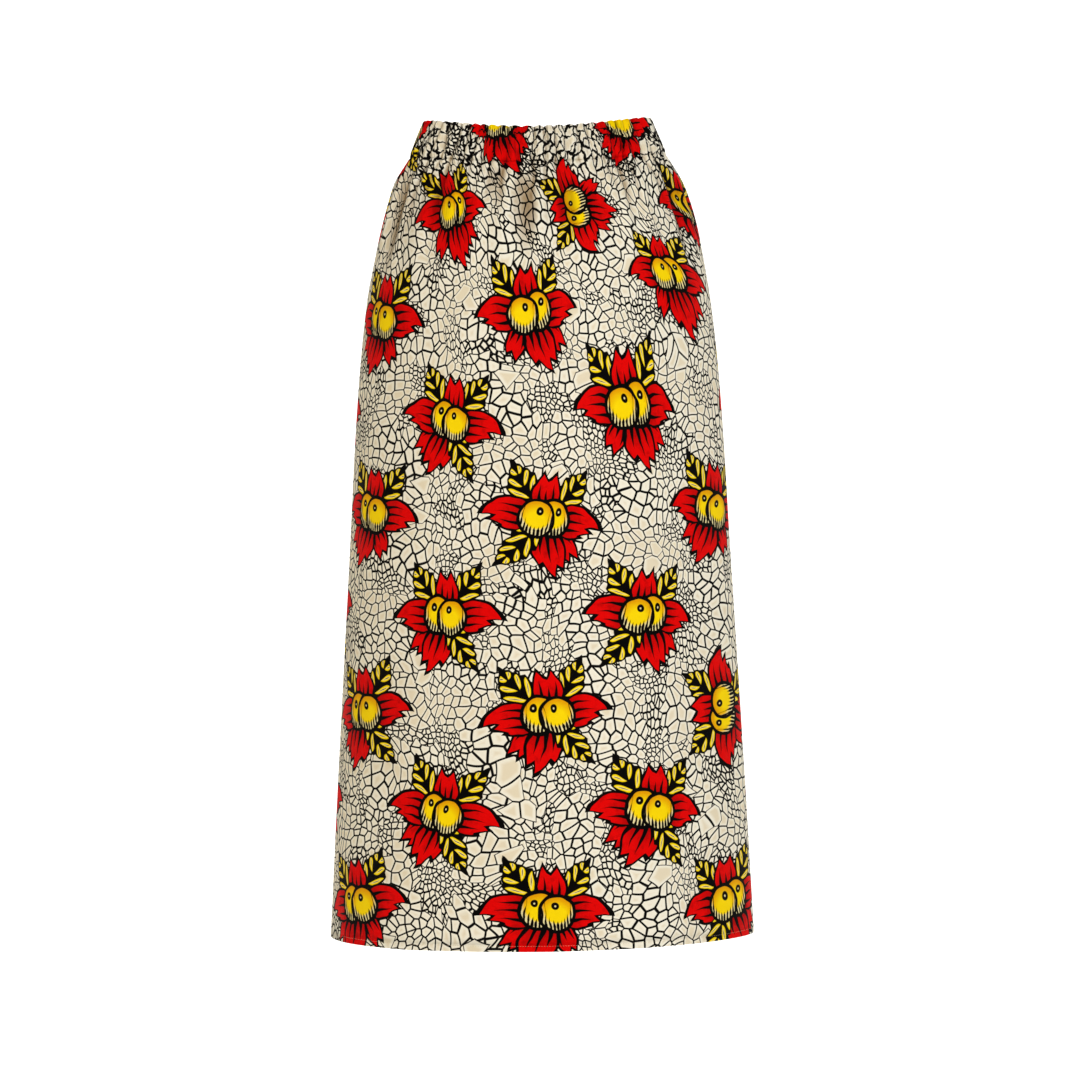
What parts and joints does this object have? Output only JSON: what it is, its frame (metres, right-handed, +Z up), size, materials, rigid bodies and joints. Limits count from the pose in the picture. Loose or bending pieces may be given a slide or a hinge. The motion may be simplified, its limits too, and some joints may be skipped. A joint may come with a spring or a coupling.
{
  "type": "wax print maxi skirt",
  "caption": "Long pull-on skirt in printed cotton, gathered into an elastic waist casing and widening gently to a turned-up hem, filled out as worn and open at waist and hem.",
  "frame": {"origin": "middle of the waist opening, halfway up the casing at its sides, where the wearer's waist holds the skirt", "axes": "+Z up, out of the waist; the front faces -Y; +X is towards the seam on the viewer's right"},
  "size_m": [0.4944, 0.3884, 0.9534],
  "materials": {
    "printed_cotton": "plain-weave cotton with a black, red and yellow print, faint waxy sheen",
    "gathered_casing_cotton": "the same printed cotton, puckered over an elastic",
    "sewing_thread": "matt twisted thread"
  },
  "bodies": {
    "root": {"front_waist_casing": "gathered_casing_cotton", "back_waist_casing": "gathered_casing_cotton", "front_panel": "printed_cotton", "back_panel": "printed_cotton", "front_hem": "printed_cotton", "back_hem": "printed_cotton"}
  },
  "joints": []
}
